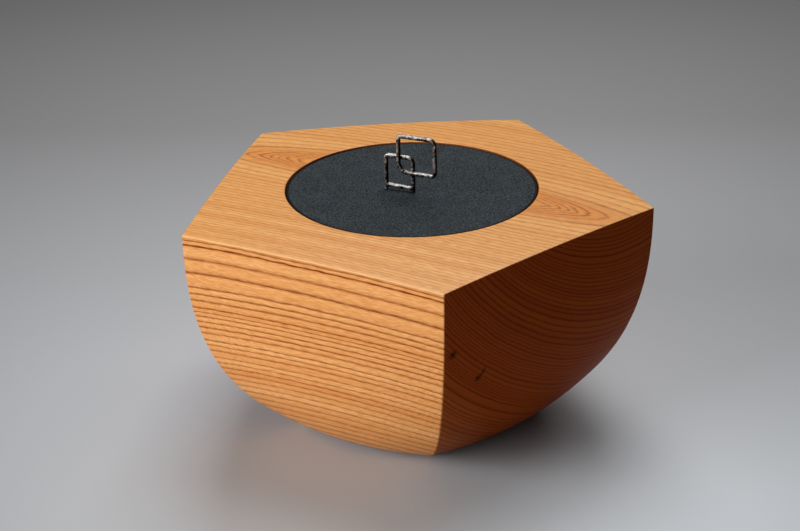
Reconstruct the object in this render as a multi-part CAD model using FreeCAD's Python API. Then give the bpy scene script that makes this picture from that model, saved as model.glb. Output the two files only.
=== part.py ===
"""Five-sided carved wooden water jar for the tea ceremony, with its lacquered lid.

The jar is one block of wood. Its five sides fall straight from a sharp rim and sweep in
to a small resting face, growing rounder on the way down. Its domed top has a round well,
closed by a flat lid that drops into a rabbet. The lid's knob is two bent silver loops.

Row frame, in millimetres: the origin is the centre of the resting face, +Z is up and +X
runs along the grain, which is also the direction of the front side. +Y points to the back.
"""

import FreeCAD, Part
import math
import os

from FreeCAD import Vector

# ---- the block, outside ----
SIDES = 5
RIM_CORNER_RADIUS = 144.0     # axis to a corner of the rim
BASE_CORNER_RADIUS = 72.0     # axis to a corner of the resting face
RIM_HEIGHT = 138.7            # resting face to a corner of the rim
CROWN = 5.4                   # rise of the domed top above the corners, at the centre
RIM_SIDE_BOW = 0.6            # how far a side bulges at its middle, at the rim
BASE_SIDE_BOW = 7.85          # the same at the resting face
ARRIS_CHAMFER = 0.5           # softening of the edge between the top and the sides
BELLY_DROP_POWER = 2.47       # the upright curve of a corner is a superellipse:
BELLY_REACH_POWER = 2.2       # drop ** drop power + reach ** reach power = 1
LEVELS = 7                    # steps between the block's sections, from rim to base
LOFT_DEGREE = 3
SAW_ALLOWANCE = 3.0           # wood above the crown that the doming takes off
FRONT_CORNER_ANGLE = -54.0    # the corner to the right of the front side

# ---- the well and the lid's rabbet ----
SEAT_WIDTH = 4.5              # ledge that carries the lid, inside the lid's edge
WELL_FLOOR = 14.0             # wood left under the well
WELL_BEVEL = 12.0             # slope between the well's wall and its floor
MOUTH_CHAMFER = 0.4           # softening of the rabbet's top edge
SEAT_CHAMFER = 0.8            # softening of the seat's inner edge

# ---- the lid ----
LID_RADIUS = 75.0
LID_THICKNESS = 5.0
LID_EDGE_CHAMFER = 0.8        # softening of the lid's top edge
LID_CLEARANCE = 0.45          # between the lid's edge and the rabbet, all round
LID_SINK = 0.6                # the lid's top lies this far below the wood at its edge

# ---- the knob: two loops of square silver rod, soldered where they cross ----
KNOB_TURN = 6.0               # the loops' planes turn this far about +Z, from +X
FOOT_X = 4.25                 # centre of the low loop's right leg, on the lid
FOOT_Y = -5.75
LOW_ROD = 2.5                 # thickness of the low loop's rod
LOW_WIDTH = 17.3              # low loop, between the middles of its legs
LOW_HEIGHT = 19.25            # low loop, between the middles of its bars
LOW_BAR_GAP = 0.8             # under the low bar's right end, where the leg stands on the lid
LOW_BAR_RISE = 0.5            # the low bar's left end is this much higher than its right
LOW_BEND_RIGHT = 3.6          # bend radii, to the middle of the rod
LOW_BEND_LEFT = 1.8
HIGH_ROD = 2.4                # thickness of the high loop's rod
HIGH_WIDTH = 23.2
HIGH_HEIGHT = 22.35
HIGH_SHIFT = 9.2              # left leg of the high loop, right of the low loop's
HIGH_RISE = 10.65             # lower bar of the high loop, above the low loop's
HIGH_BEND_LOW_LEFT = 6.2
HIGH_BEND_LOW_RIGHT = 2.4
HIGH_BEND_TOP_RIGHT = 3.8
HIGH_BEND_TOP_LEFT = 2.0
ROD_EDGE_CHAMFER = 0.45       # softening of the rods' long edges

# ---- how the knob is held: two pins through the lid, peened over washers ----
PIN_RADIUS = 1.0
PIN_CLEARANCE = 0.1           # between a pin and its hole, all round
WASHER_RADIUS = 3.0
WASHER_THICKNESS = 0.6
PEEN_RADIUS = 1.7             # the hammered-over end of a pin
PEEN_HEIGHT = 0.7

# ---- worked out from the above ----
HALF_SIDE = math.pi / SIDES
DOME_RADIUS = (RIM_CORNER_RADIUS ** 2 + CROWN ** 2) / (2 * CROWN)
DOME_CENTRE_Z = RIM_HEIGHT + CROWN - DOME_RADIUS
UP = Vector(0, 0, 1)


def dome_height(radius):
    """Height of the domed top at this distance from the axis."""
    return DOME_CENTRE_Z + math.sqrt(DOME_RADIUS ** 2 - radius ** 2)


RABBET_RADIUS = LID_RADIUS + LID_CLEARANCE
WELL_RADIUS = LID_RADIUS - SEAT_WIDTH
LID_TOP = dome_height(RABBET_RADIUS) - LID_SINK
SEAT_HEIGHT = LID_TOP - LID_THICKNESS
LOW_BAR_HEIGHT = LID_TOP + LOW_BAR_GAP + LOW_ROD / 2


def radial(angle):
    """Level unit vector at this angle, in radians, from +X."""
    return Vector(math.cos(angle), math.sin(angle), 0)


# ---------------------------------------------------------------- block

def corner_reach(drop):
    """Share of the rim's corner radius that is left at this share of the full drop."""
    return (1 - drop ** BELLY_DROP_POWER) ** (1 / BELLY_REACH_POWER)


def base_drop():
    """The share of the superellipse's drop at which the resting face cuts it."""
    reach = BASE_CORNER_RADIUS / RIM_CORNER_RADIUS
    return (1 - reach ** BELLY_REACH_POWER) ** (1 / BELLY_DROP_POWER)


def side_section(height, corner_radius, bow):
    """Closed wire of bowed sides at this height: each is an arc from corner to corner."""
    apothem = corner_radius * math.cos(HALF_SIDE)
    edges = []
    for side in range(SIDES):
        start = math.radians(FRONT_CORNER_ANGLE) + 2 * HALF_SIDE * side
        middle = start + HALF_SIDE
        end = middle + HALF_SIDE
        first = radial(start) * corner_radius
        through = radial(middle) * (apothem + bow)
        last = radial(end) * corner_radius
        edges.append(Part.Arc(first, through, last).toShape())
    wire = Part.Wire(edges)
    wire.translate(UP * height)
    return wire


def block_blank():
    """The block before doming: a loft from the resting face to above the crown."""
    drop_at_base = base_drop()
    full_drop = RIM_HEIGHT / drop_at_base
    end_bow = BASE_SIDE_BOW * RIM_CORNER_RADIUS / BASE_CORNER_RADIUS
    sections = []
    for level in range(LEVELS, -1, -1):
        share = level / LEVELS
        drop = drop_at_base * share
        reach = corner_reach(drop)
        bow = reach * (RIM_SIDE_BOW + (end_bow - RIM_SIDE_BOW) * share)
        height = RIM_HEIGHT - full_drop * drop
        sections.append(side_section(height, RIM_CORNER_RADIUS * reach, bow))
    above = RIM_HEIGHT + CROWN + SAW_ALLOWANCE
    sections.append(side_section(above, RIM_CORNER_RADIUS, RIM_SIDE_BOW))
    return Part.makeLoft(sections, True, False, False, LOFT_DEGREE)


def well_and_rabbet():
    """The turned hollow: floor, slope, straight wall, seat and the lid's rabbet."""
    above = RIM_HEIGHT + CROWN + SAW_ALLOWANCE
    outline = [
        Vector(0, 0, WELL_FLOOR),
        Vector(WELL_RADIUS - WELL_BEVEL, 0, WELL_FLOOR),
        Vector(WELL_RADIUS, 0, WELL_FLOOR + WELL_BEVEL),
        Vector(WELL_RADIUS, 0, SEAT_HEIGHT),
        Vector(RABBET_RADIUS, 0, SEAT_HEIGHT),
        Vector(RABBET_RADIUS, 0, above),
        Vector(0, 0, above),
    ]
    profile = Part.makePolygon(outline + [outline[0]])
    return Part.Face(profile).revolve(Vector(0, 0, 0), UP, 360)


def rings(shape, radius, height):
    """The shape's full round edges about the axis with this radius and height."""
    found = []
    for edge in shape.Edges:
        box = edge.BoundBox
        wide = abs(box.XMax - radius) < 0.01 and abs(box.XMin + radius) < 0.01
        if wide and abs(box.ZMax - height) < 0.01 and abs(box.ZMin - height) < 0.01:
            found.append(edge)
    return found


def rim_edges(block):
    """The outer edges of the domed top."""
    top = max(block.Faces, key=lambda face: face.CenterOfMass.z)
    return top.OuterWire.Edges


def vessel_body():
    """The carved block, domed, with softened rim, well and rabbet."""
    dome = Part.makeSphere(DOME_RADIUS, Vector(0, 0, DOME_CENTRE_Z))
    block = block_blank().common(dome).Solids[0]
    block = block.makeChamfer(ARRIS_CHAMFER, rim_edges(block))
    block = block.cut(well_and_rabbet())
    mouth = rings(block, RABBET_RADIUS, dome_height(RABBET_RADIUS))
    block = block.makeChamfer(MOUTH_CHAMFER, mouth)
    seat = rings(block, WELL_RADIUS, SEAT_HEIGHT)
    return block.makeChamfer(SEAT_CHAMFER, seat)


# ---------------------------------------------------------------- knob

def knob_place():
    """Where the knob stands: x along the loops, y to their back, origin at the right foot."""
    turn = FreeCAD.Rotation(UP, KNOB_TURN)
    return FreeCAD.Placement(Vector(FOOT_X, FOOT_Y, 0), turn)


def pin_places():
    """Axes of the two pins, one under each leg of the low loop."""
    place = knob_place()
    return [place.multVec(Vector(x, 0, 0)) for x in (-LOW_WIDTH, 0)]


def rod_section(thickness, centre, direction):
    """Closed wire: a square with cut corners across the rod, one side facing the front."""
    half = thickness / 2
    flat = half - ROD_EDGE_CHAMFER
    front = Vector(0, -1, 0)
    across = direction.cross(front)
    corners = []
    for turn in range(4):
        angle = turn * math.pi / 2
        out = front * math.cos(angle) + across * math.sin(angle)
        along = across * math.cos(angle) - front * math.sin(angle)
        corners.append(centre + out * half - along * flat)
        corners.append(centre + out * half + along * flat)
    return Part.makePolygon(corners + [corners[0]])


def bent_rod(points, bends, closed, thickness):
    """Square rod along straight runs joined by tangent bends.

    Each point is a corner of the path, each bend the radius at that point to the middle of
    the rod. A closed path bends at every point, an open one at all but its two ends.
    """
    count = len(points)
    runs = count if closed else count - 1
    arrive = list(points)
    leave = list(points)
    middles = [None] * count
    for i in range(count):
        if not closed and i in (0, count - 1):
            continue
        back = (points[i - 1] - points[i]).normalize()
        ahead = (points[(i + 1) % count] - points[i]).normalize()
        half = back.getAngle(ahead) / 2
        reach = bends[i] / math.tan(half)
        inwards = (back + ahead).normalize()
        arrive[i] = points[i] + back * reach
        leave[i] = points[i] + ahead * reach
        middles[i] = points[i] + inwards * (bends[i] / math.sin(half) - bends[i])
    edges = []
    for i in range(runs):
        following = (i + 1) % count
        edges.append(Part.LineSegment(leave[i], arrive[following]).toShape())
        if middles[following] is not None:
            bend = Part.Arc(arrive[following], middles[following], leave[following])
            edges.append(bend.toShape())
    direction = (arrive[1] - leave[0]).normalize()
    section = rod_section(thickness, leave[0], direction)
    return Part.Wire(edges).makePipeShell([section], True, True)


def pin(place):
    """One pin of the low loop: from inside a leg, through lid and washer, to its peened end."""
    washer_under = SEAT_HEIGHT - WASHER_THICKNESS
    length = LOW_BAR_HEIGHT + LOW_BEND_LEFT - washer_under
    shank = Part.makeCylinder(PIN_RADIUS, length, Vector(place.x, place.y, washer_under))
    peen_foot = Vector(place.x, place.y, washer_under - PEEN_HEIGHT)
    return shank.fuse(Part.makeCylinder(PEEN_RADIUS, PEEN_HEIGHT, peen_foot))


def knob_lower_ring():
    """The low loop: up the right leg, over and down; then along the lid to the right leg."""
    bar = LOW_BAR_HEIGHT
    foot = Vector(0, 0, LID_TOP)
    top_right = Vector(0, 0, bar + LOW_HEIGHT)
    top_left = top_right - Vector(LOW_WIDTH, 0, 0)
    low_left = Vector(-LOW_WIDTH, 0, bar + LOW_BAR_RISE)
    low_right = Vector(0, 0, bar)
    half_way = (top_left + low_left) * 0.5
    arch_bends = [0, LOW_BEND_RIGHT, LOW_BEND_LEFT, 0]
    arch = bent_rod([foot, top_right, top_left, half_way], arch_bends, False, LOW_ROD)
    sill = bent_rod([half_way, low_left, low_right], [0, LOW_BEND_LEFT, 0], False, LOW_ROD)
    rod = arch.fuse(sill).removeSplitter()
    rod.Placement = knob_place()
    for place in pin_places():
        rod = rod.fuse(pin(place))
    return rod.removeSplitter()


def knob_upper_ring():
    """The high loop: closed, in front of the low one and face to face with it."""
    left = -LOW_WIDTH + HIGH_SHIFT
    right = left + HIGH_WIDTH
    low = LOW_BAR_HEIGHT + HIGH_RISE
    high = low + HIGH_HEIGHT
    depth = -(LOW_ROD + HIGH_ROD) / 2
    points = [
        Vector(left, depth, high),
        Vector(right, depth, high),
        Vector(right, depth, low),
        Vector(left, depth, low),
    ]
    bends = [HIGH_BEND_TOP_LEFT, HIGH_BEND_TOP_RIGHT, HIGH_BEND_LOW_RIGHT, HIGH_BEND_LOW_LEFT]
    rod = bent_rod(points, bends, True, HIGH_ROD)
    rod.Placement = knob_place()
    return rod


def knob_washers():
    """The two washers under the lid, around the pins."""
    washers = []
    for place in pin_places():
        foot = Vector(place.x, place.y, SEAT_HEIGHT - WASHER_THICKNESS)
        disc = Part.makeCylinder(WASHER_RADIUS, WASHER_THICKNESS, foot)
        hole = Part.makeCylinder(PIN_RADIUS + PIN_CLEARANCE, WASHER_THICKNESS, foot)
        washers.append(disc.cut(hole))
    return Part.makeCompound(washers)


# ---------------------------------------------------------------- lid

def lid_board():
    """The flat lid, with rounded edges and a hole for each pin of the knob."""
    lid = Part.makeCylinder(LID_RADIUS, LID_THICKNESS, Vector(0, 0, SEAT_HEIGHT))
    lid = lid.makeChamfer(LID_EDGE_CHAMFER, rings(lid, LID_RADIUS, LID_TOP))
    for place in pin_places():
        foot = Vector(place.x, place.y, SEAT_HEIGHT)
        lid = lid.cut(Part.makeCylinder(PIN_RADIUS + PIN_CLEARANCE, LID_THICKNESS, foot))
    return lid


def main():
    os.makedirs("parts", exist_ok=True)
    nodes = [vessel_body, lid_board, knob_lower_ring, knob_upper_ring, knob_washers]
    for node in nodes:
        shape = node()
        assert shape.isValid(), node.__name__
        shape.exportStep("parts/" + node.__name__ + ".step")
        print(node.__name__, len(shape.Solids), "solids", round(shape.Volume), "mm3")


main()
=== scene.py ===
"""Looks of the five-sided wooden water jar: lacquered zelkova, a granular black lid and
a knob of two hammered silver loops, on a pale studio floor.

Everything is in metres, in the row frame: the origin is the centre of the resting face,
+Z is up, +X runs along the grain and the front side, +Y points to the back corner.
"""

import math

import bpy
import numpy as np
from mathutils import Matrix, Vector


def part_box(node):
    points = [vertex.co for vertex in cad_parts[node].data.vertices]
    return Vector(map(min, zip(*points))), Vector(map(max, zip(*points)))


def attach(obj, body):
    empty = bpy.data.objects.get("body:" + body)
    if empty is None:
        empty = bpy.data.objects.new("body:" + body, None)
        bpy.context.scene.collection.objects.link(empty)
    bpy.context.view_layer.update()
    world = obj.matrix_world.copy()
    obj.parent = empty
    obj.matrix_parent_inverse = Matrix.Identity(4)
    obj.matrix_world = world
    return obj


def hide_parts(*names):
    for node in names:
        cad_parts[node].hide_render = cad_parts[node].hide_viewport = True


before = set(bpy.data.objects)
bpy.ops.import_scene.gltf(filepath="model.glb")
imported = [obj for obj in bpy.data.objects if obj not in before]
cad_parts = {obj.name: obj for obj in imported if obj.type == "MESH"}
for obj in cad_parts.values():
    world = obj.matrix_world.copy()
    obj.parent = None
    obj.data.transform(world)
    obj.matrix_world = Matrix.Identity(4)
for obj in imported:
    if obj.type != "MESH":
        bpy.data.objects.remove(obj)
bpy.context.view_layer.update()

MM = 0.001

_, jar_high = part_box("vessel_body")
lid_low, lid_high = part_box("lid_board")

# ---- the jar ----
SIDES = 5
FRONT_CORNER_ANGLE = math.radians(-54.0)   # the corner to the right of the front side
RIM_CORNER_RADIUS = jar_high.y             # the back corner points along +Y
BASE_CORNER_RADIUS = RIM_CORNER_RADIUS / 2  # axis to a corner of the resting face
CROWN = 5.4 * MM                           # rise of the domed top above the corners
RIM_HEIGHT = 138.7 * MM                    # resting face to a corner of the rim
RIM_SIDE_BOW = 0.6 * MM                    # bulge of a side at its middle, at the rim
BASE_SIDE_BOW = 7.85 * MM                  # the same at the resting face
BELLY_DROP_POWER = 2.47                    # drop ** this + reach ** the next = 1
BELLY_REACH_POWER = 2.2
ARRIS_RADIUS = 0.75 * MM                   # rounding between the top and the sides
RIDGE_RADIUS_RIM = 1.1 * MM                # rounding between two sides, at the rim
RIDGE_RADIUS_BASE = 3.0 * MM
RIDGE_EASING = 1.5                         # how late on the way down they grow rounder
SKIN_INSET = 0.03 * MM                     # keeps the fine skin inside the coarser solid
BASE_EDGE = 0.4 * MM                       # softening of the edge of the resting face
MOUTH_RADIUS = 0.5 * MM                    # rounding of the rabbet's top edge
SEAT_WIDTH = 4.5 * MM                      # ledge under the lid's edge
SEAT_EDGE_RADIUS = 0.8 * MM
WELL_FLOOR = 14.0 * MM
COVE_RADIUS = 20.0 * MM                    # between the well's wall and its floor

# ---- the lid ----
LID_RADIUS = lid_high.x
LID_TOP = lid_high.z
SEAT_HEIGHT = lid_low.z
LID_CLEARANCE = 0.45 * MM                  # between the lid's edge and the rabbet
LID_EDGE_RADIUS = 0.9 * MM                 # rounding of its top edge
LID_UNDER_RADIUS = 0.4 * MM                # and of its lower edge

# ---- the knob ----
KNOB_TURN = math.radians(6.0)              # the loops' planes turn this far from +X
FOOT_X = 4.25 * MM                         # centre of the low loop's right leg
FOOT_Y = -5.75 * MM
LOW_ROD = 2.5 * MM                         # thickness of the low loop's rod
LOW_WIDTH = 17.3 * MM                      # between the middles of its legs
LOW_HEIGHT = 19.25 * MM                    # between the middles of its bars
LOW_BAR_GAP = 0.8 * MM                     # under the low bar's right end
LOW_BAR_RISE = 0.5 * MM                    # its left end is this much higher
LOW_BEND_RIGHT = 3.6 * MM                  # bends, to the middle of the rod
LOW_BEND_LEFT = 1.8 * MM
HIGH_ROD = 2.4 * MM                        # the same of the high loop
HIGH_WIDTH = 23.2 * MM
HIGH_HEIGHT = 22.35 * MM
HIGH_SHIFT = 9.2 * MM                      # its left leg, from the low loop's left leg
HIGH_RISE = 10.65 * MM                     # its low bar, from the low loop's low bar
HIGH_BENDS = (2.0 * MM, 3.8 * MM, 2.4 * MM, 6.2 * MM)   # clockwise from the top left
ROD_SQUARENESS = 4.0                       # 2 is a round rod, more is squarer
PIN_RADIUS = 1.0 * MM
PEEN_RADIUS = 1.7 * MM                     # the pin's end, spread under the washer
PEEN_HEIGHT = 0.7 * MM
WASHER_RADIUS = 3.0 * MM
WASHER_THICKNESS = 0.6 * MM
WASHER_PLAY = 0.1 * MM                     # between the washer and its pin
WASHER_BEVEL = 0.15 * MM

HALF_SIDE = math.pi / SIDES
DOME_RADIUS = (RIM_CORNER_RADIUS**2 + CROWN**2) / (2 * CROWN)
DOME_CENTRE_Z = RIM_HEIGHT + CROWN - DOME_RADIUS
RABBET_RADIUS = LID_RADIUS + LID_CLEARANCE
WELL_RADIUS = LID_RADIUS - SEAT_WIDTH
LOW_BAR_HEIGHT = LID_TOP + LOW_BAR_GAP + LOW_ROD / 2


# ---------------------------------------------------------------- meshes

def tube_faces(rows, columns, closed_rows=False):
    """Quads between neighbouring rows of a grid whose columns close on themselves."""
    row = np.arange(rows if closed_rows else rows - 1)[:, None]
    column = np.arange(columns)[None, :]
    above = (row + 1) % rows
    beside = (column + 1) % columns
    corners = (
        row * columns + column,
        row * columns + beside,
        above * columns + beside,
        above * columns + column,
    )
    return np.stack(corners, axis=-1).reshape(-1, 4)


def closed_skin(rings, poles=True):
    """Points and blocks of faces of a closed skin over rings, shape (rows, columns, 3).

    With poles, the first and the last ring are each drawn together to the mean of their
    points by a fan of triangles; without, the last ring joins the first.
    """
    rows, columns = rings.shape[:2]
    points = rings.reshape(-1, 3)
    if not poles:
        return points, [tube_faces(rows, columns, True)]
    first = np.arange(columns)
    after = (first + 1) % columns
    last_row = (rows - 1) * columns
    pole = np.full(columns, rows * columns)
    faces = [
        tube_faces(rows, columns),
        np.stack((pole, after, first), axis=-1),
        np.stack((pole + 1, last_row + first, last_row + after), axis=-1),
    ]
    middles = [rings[0].mean(axis=0), rings[-1].mean(axis=0)]
    return np.concatenate((points, middles)), faces


def mesh_piece(name, skins, material, body, node):
    """One smooth-shaded piece from one or more skins; it rides on body, in node's stead."""
    points, faces, offset = [], [], 0
    for skin_points, blocks in skins:
        points.append(skin_points)
        for block in blocks:
            faces += (block + offset).tolist()
        offset += len(skin_points)
    mesh = bpy.data.meshes.new(name)
    mesh.from_pydata(np.concatenate(points).tolist(), [], faces)
    mesh.polygons.foreach_set("use_smooth", np.ones(len(mesh.polygons), bool))
    mesh.materials.append(material)
    mesh.update()
    piece = bpy.data.objects.new(name, mesh)
    bpy.context.scene.collection.objects.link(piece)
    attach(piece, body)
    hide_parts(node)


def turned(profile, angles):
    """Rings of a turned shape: each (radius, height) of the profile, swept round +Z."""
    radius, height = np.array(profile).T[:, :, None]
    x = radius * np.cos(angles)
    y = radius * np.sin(angles)
    return np.stack((x, y, height + 0 * x), axis=-1)


def arc(centre, radius, start, end, steps):
    """Points (across, up) of an arc: the centre plus radius times a direction, in degrees."""
    angles = np.radians(np.linspace(start, end, steps))
    across = centre[0] + radius * np.cos(angles)
    up = centre[1] + radius * np.sin(angles)
    return list(zip(across, up))


# ---------------------------------------------------------------- jar

SIDE_STEPS = 44              # columns across one side, between its ridges
RIDGE_STEPS = 5              # columns across half a ridge
SIDE_ROWS = 110              # from the foot up to the arris, closer near the foot
ARRIS_ROWS = 6
TOP_ROWS = 22                # across the domed top, from the arris to the mouth
EDGE_ROWS = 6                # round the mouth's edge, and the seat's
WALL_ROWS = 10               # down the well
COVE_ROWS = 12
WELL_FLOOR_ROWS = 6
FOOT_SHARES = (0.35, 0.7, 0.975)    # rings of the foot, as shares of its outline
NEAR_AXIS = 0.3 * MM         # radius of a turned surface's last ring, before its pole
RABBET_CORNER = 0.1 * MM     # bevel between the rabbet's wall and the seat
RABBET_RING = 2.0 * MM       # a ring of that wall lies this high over the seat


def dome_height(radius):
    """Height of the spherical top at this distance from the axis."""
    return DOME_CENTRE_Z + np.sqrt(DOME_RADIUS**2 - radius**2)


def side_columns():
    """Where each column stands: its side's direction, its share of the flat, of the ridge.

    The share of the flat runs from -1 to 1 across a side and stays there on the ridges;
    the share of the ridge is 0 on the flat and goes to -1 or 1 at the ridge's middle.
    """
    ridge = np.linspace(1, 0, RIDGE_STEPS, endpoint=False)
    flat = np.linspace(-1, 1, SIDE_STEPS + 1)
    share_flat = np.concatenate((-np.ones(RIDGE_STEPS), flat, np.ones(RIDGE_STEPS - 1)))
    share_ridge = np.concatenate((-ridge, np.zeros(SIDE_STEPS + 1), ridge[:0:-1]))
    middles = FRONT_CORNER_ANGLE + HALF_SIDE * (2 * np.arange(SIDES) + 1)
    directions = np.repeat(middles, len(share_flat))
    return directions, np.tile(share_flat, SIDES), np.tile(share_ridge, SIDES)


def side_point(height, directions, share_flat, share_ridge):
    """Point (x, y) of the jar's side at this height, and its level outward direction.

    The corners' reach from the axis follows the belly's superellipse, drop^p + reach^q = 1.
    A side is an arc between two corners: over half a chord h, with a bow b, its radius is
    (h^2 + b^2) / 2b. A ridge is a small arc tangent to both sides: its centre lies on the
    corner's line, at the side's radius less its own from the side's centre. Either way the
    point is the arc's centre plus its radius times the outward direction.
    """
    share = np.clip((RIM_HEIGHT - height) / RIM_HEIGHT, 0, 1)
    base_reach = BASE_CORNER_RADIUS / RIM_CORNER_RADIUS
    drop_at_base = (1 - base_reach**BELLY_REACH_POWER) ** (1 / BELLY_DROP_POWER)
    drop = drop_at_base * share
    reach = (1 - drop**BELLY_DROP_POWER) ** (1 / BELLY_REACH_POWER)
    end_bow = BASE_SIDE_BOW / base_reach
    bow = reach * (RIM_SIDE_BOW + (end_bow - RIM_SIDE_BOW) * share)
    corner = RIM_CORNER_RADIUS * reach
    half_chord = corner * math.sin(HALF_SIDE)
    apothem = corner * math.cos(HALF_SIDE)
    side_radius = (half_chord**2 + bow**2) / (2 * bow)
    side_centre = apothem + bow - side_radius
    growth = (RIDGE_RADIUS_BASE - RIDGE_RADIUS_RIM) * share**RIDGE_EASING
    ridge_radius = RIDGE_RADIUS_RIM + growth
    across = side_centre * math.sin(HALF_SIDE)
    along = side_centre * math.cos(HALF_SIDE)
    ridge_centre = along + np.sqrt((side_radius - ridge_radius) ** 2 - across**2)
    ridge_out = ridge_centre * math.cos(HALF_SIDE)
    ridge_aside = ridge_centre * math.sin(HALF_SIDE)
    flat_turn = np.arctan2(ridge_aside, ridge_out - side_centre)
    turn = share_flat * flat_turn + share_ridge * (HALF_SIDE - flat_turn)
    on_ridge = share_ridge != 0
    radius = np.where(on_ridge, ridge_radius, side_radius) - SKIN_INSET
    centre_out = np.where(on_ridge, ridge_out, side_centre)
    centre_aside = np.where(on_ridge, np.sign(share_ridge) * ridge_aside, 0)
    out = centre_out + radius * np.cos(turn)
    aside = centre_aside + radius * np.sin(turn)
    x = out * np.cos(directions) - aside * np.sin(directions)
    y = out * np.sin(directions) + aside * np.cos(directions)
    return x, y, directions + turn


def jar_skin():
    """Closed skin of the jar: foot, sides, arris, dome, mouth, rabbet, seat and well.

    The sides are the side_point curve swept from the foot up to the dome, with rows at
    half of an even share plus half of its square. The arris is an arc of radius r that
    turns from the side's outward direction to the dome's: where the dome falls by f to
    1 outwards, it starts at the dome's height plus r f - r sqrt(1 + f^2). The dome blends
    in plan from the arris to the round mouth, at the sphere's height. The hollow is turned.
    """
    columns = side_columns()
    rim_x, rim_y, facing = side_point(RIM_HEIGHT, *columns)
    rim_distance = np.hypot(rim_x, rim_y)
    around = np.arctan2(rim_y, rim_x)
    fall = rim_distance / np.sqrt(DOME_RADIUS**2 - rim_distance**2) * np.cos(facing - around)
    arris_height = (
        dome_height(rim_distance) + fall * ARRIS_RADIUS - ARRIS_RADIUS * np.sqrt(1 + fall**2)
    )

    share = np.linspace(0, 1, SIDE_ROWS)[:, None]
    height = BASE_EDGE + (arris_height - BASE_EDGE) * (0.5 * share + 0.5 * share**2)
    x, y, _ = side_point(height, *columns)
    sides = np.stack((x, y, height), axis=-1)

    foot_x, foot_y, _ = side_point(0, *columns)
    inward = np.array(FOOT_SHARES)[:, None]
    foot = np.stack((inward * foot_x, inward * foot_y, 0 * inward * foot_x), axis=-1)

    top_turn = np.arctan2(1, fall)
    turn = np.linspace(0, 1, ARRIS_ROWS)[1:, None] * top_turn
    pull = -ARRIS_RADIUS + ARRIS_RADIUS * np.cos(turn)
    x = rim_x + pull * np.cos(facing)
    y = rim_y + pull * np.sin(facing)
    arris = np.stack((x, y, arris_height + ARRIS_RADIUS * np.sin(turn)), axis=-1)

    mouth_edge = RABBET_RADIUS + MOUTH_RADIUS
    share = np.linspace(0, 1, TOP_ROWS)[1:, None]
    x = arris[-1, :, 0] * (1 - share) + mouth_edge * np.cos(around) * share
    y = arris[-1, :, 1] * (1 - share) + mouth_edge * np.sin(around) * share
    dome = np.stack((x, y, dome_height(np.hypot(x, y))), axis=-1)

    mouth_centre = (mouth_edge, dome_height(mouth_edge) - MOUTH_RADIUS)
    seat_centre = (WELL_RADIUS + SEAT_EDGE_RADIUS, SEAT_HEIGHT - SEAT_EDGE_RADIUS)
    cove_centre = (WELL_RADIUS - COVE_RADIUS, WELL_FLOOR + COVE_RADIUS)
    hollow = arc(mouth_centre, MOUTH_RADIUS, 90, 180, EDGE_ROWS)[1:]
    hollow += [(RABBET_RADIUS, SEAT_HEIGHT + RABBET_RING)]
    hollow += [(RABBET_RADIUS, SEAT_HEIGHT + RABBET_CORNER)]
    hollow += [(RABBET_RADIUS - RABBET_CORNER, SEAT_HEIGHT)]
    hollow += arc(seat_centre, SEAT_EDGE_RADIUS, 90, 180, EDGE_ROWS)
    wall = np.linspace(seat_centre[1], cove_centre[1], WALL_ROWS)[1:-1]
    hollow += [(WELL_RADIUS, level) for level in wall]
    hollow += arc(cove_centre, COVE_RADIUS, 0, -90, COVE_ROWS)
    floor = np.linspace(cove_centre[0], NEAR_AXIS, WELL_FLOOR_ROWS)[1:]
    hollow += [(radius, WELL_FLOOR) for radius in floor]
    return closed_skin(np.concatenate((foot, sides, arris, dome, turned(hollow, around))))


# ---------------------------------------------------------------- lid

LID_COLUMNS = 256
LID_UNDER_ROWS = 8
LID_LOWER_EDGE_ROWS = 4
LID_UPPER_EDGE_ROWS = 7
LID_TOP_ROWS = 12


def lid_skin():
    """The lid, turned: flat underside, small lower edge, upright side, rounded top edge."""
    angles = np.linspace(0, 2 * math.pi, LID_COLUMNS, endpoint=False)
    under = (LID_RADIUS - LID_UNDER_RADIUS, SEAT_HEIGHT + LID_UNDER_RADIUS)
    over = (LID_RADIUS - LID_EDGE_RADIUS, LID_TOP - LID_EDGE_RADIUS)
    outwards = np.linspace(NEAR_AXIS, under[0], LID_UNDER_ROWS)[:-1]
    inwards = np.linspace(over[0], NEAR_AXIS, LID_TOP_ROWS)[1:]
    profile = [(radius, SEAT_HEIGHT) for radius in outwards]
    profile += arc(under, LID_UNDER_RADIUS, -90, 0, LID_LOWER_EDGE_ROWS)
    profile += arc(over, LID_EDGE_RADIUS, 0, 90, LID_UPPER_EDGE_ROWS)
    profile += [(radius, LID_TOP) for radius in inwards]
    return closed_skin(turned(profile, angles))


# ---------------------------------------------------------------- knob

ROD_STEP = 0.28 * MM     # spacing of a rod's sections along its path
ROD_COLUMNS = 32
PIN_COLUMNS = 24
WASHER_COLUMNS = 32
HAMMER_SEED = 11
DENTS_PER_LENGTH = 1400  # hammer marks to a metre of rod
DENT_DEPTH = 0.11 * MM   # of the deepest,
DENT_SHALLOWEST = 0.15   # and the shallowest's share of it, before the easing
DENT_EASING = 1.5        # more than 1 makes most of them shallow
DENT_LENGTH = 1.1 * MM
DENT_LENGTHS = (0.6, 1.6)      # shares of that length
DENT_WIDTHS = (0.35, 0.9)      # radians round the rod


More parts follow.
